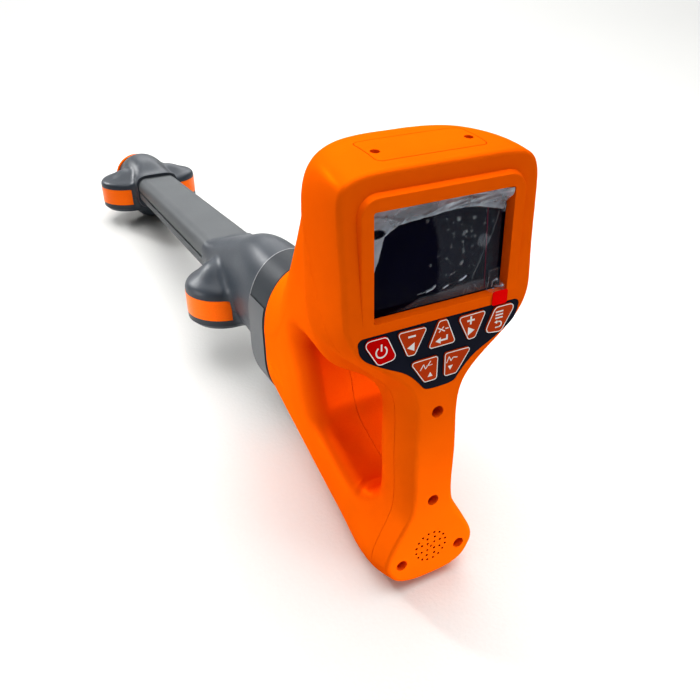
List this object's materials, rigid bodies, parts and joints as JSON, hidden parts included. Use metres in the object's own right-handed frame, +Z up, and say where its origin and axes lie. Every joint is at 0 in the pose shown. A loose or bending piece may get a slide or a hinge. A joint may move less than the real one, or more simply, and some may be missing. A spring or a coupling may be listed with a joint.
{
  "type": "pipe locator",
  "caption": "Hand-held pipe locator: looped handle with screen, keypad and speaker, collar, flattened stick and two winged antenna nodes, lying on its foot and lower node.",
  "frame": {"origin": "middle of the underside, on the table that the foot and the lower node rest on", "axes": "+Z up, -Y towards the user who reads the screen, +Y along the stick to the tip, +X to the right"},
  "size_m": [0.1072, 0.667, 0.2526],
  "materials": {
    "orange_shell": "satin moulded plastic",
    "dark_shell": "fine matt moulded plastic",
    "grey_stick": "satin tube",
    "seal": "soft black seal",
    "pane": "dark glossy window",
    "display": "black display face",
    "film": "clear protective film",
    "red_tab": "red printed tab",
    "board": "green circuit board",
    "overlay": "navy printed film",
    "driver": "black speaker",
    "battery": "blue sleeve",
    "strip": "reflective orange strip",
    "coil": "enamelled winding",
    "orange_key": "soft orange key",
    "red_key": "soft red key"
  },
  "bodies": {
    "locator": {"front_cover": "orange_shell", "rear_housing_left": "orange_shell", "rear_housing_right": "orange_shell", "service_cover": "orange_shell", "tip_cap": "orange_shell", "service_cover_gasket": "seal", "window_gasket": "seal", "speaker_gasket": "seal", "display_window": "pane", "display_module": "display", "protective_film": "film", "pull_tab": "red_tab", "main_board": "board", "keypad_board": "board", "keypad_overlay": "overlay", "speaker": "driver", "battery_pack": "battery", "collar": "dark_shell", "upper_node_top": "dark_shell", "upper_node_bottom": "dark_shell", "lower_node_top": "dark_shell", "lower_node_bottom": "dark_shell", "stick": "grey_stick", "upper_strip_left": "strip", "upper_strip_right": "strip", "lower_strip_left": "strip", "lower_strip_right": "strip", "upper_coil_cross": "coil", "upper_coil_upright": "coil", "lower_coil_cross": "coil", "lower_coil_upright": "coil"},
    "key_power": {"key_power": "red_key"},
    "key_minus": {"key_minus": "orange_key"},
    "key_enter": {"key_enter": "orange_key"},
    "key_plus": {"key_plus": "orange_key"},
    "key_menu": {"key_menu": "orange_key"},
    "key_up": {"key_up": "orange_key"},
    "key_down": {"key_down": "orange_key"}
  },
  "joints": [
    {"name": "key_power_press", "type": "slide", "parent": "locator", "child": "key_power", "axis": [0, 0.9973, -0.0729], "range_m": [0, 0.0006], "stiffness_N_per_m": 2500, "springref_m": -0.0004},
    {"name": "key_minus_press", "type": "slide", "parent": "locator", "child": "key_minus", "axis": [0, 0.9973, -0.0729], "range_m": [0, 0.0006], "stiffness_N_per_m": 2500, "springref_m": -0.0004},
    {"name": "key_enter_press", "type": "slide", "parent": "locator", "child": "key_enter", "axis": [0, 0.9973, -0.0729], "range_m": [0, 0.0006], "stiffness_N_per_m": 2500, "springref_m": -0.0004},
    {"name": "key_plus_press", "type": "slide", "parent": "locator", "child": "key_plus", "axis": [0, 0.9973, -0.0729], "range_m": [0, 0.0006], "stiffness_N_per_m": 2500, "springref_m": -0.0004},
    {"name": "key_menu_press", "type": "slide", "parent": "locator", "child": "key_menu", "axis": [0, 0.9973, -0.0729], "range_m": [0, 0.0006], "stiffness_N_per_m": 2500, "springref_m": -0.0004},
    {"name": "key_up_press", "type": "slide", "parent": "locator", "child": "key_up", "axis": [0, 0.9973, -0.0729], "range_m": [0, 0.0006], "stiffness_N_per_m": 2500, "springref_m": -0.0004},
    {"name": "key_down_press", "type": "slide", "parent": "locator", "child": "key_down", "axis": [0, 0.9973, -0.0729], "range_m": [0, 0.0006], "stiffness_N_per_m": 2500, "springref_m": -0.0004}
  ]
}
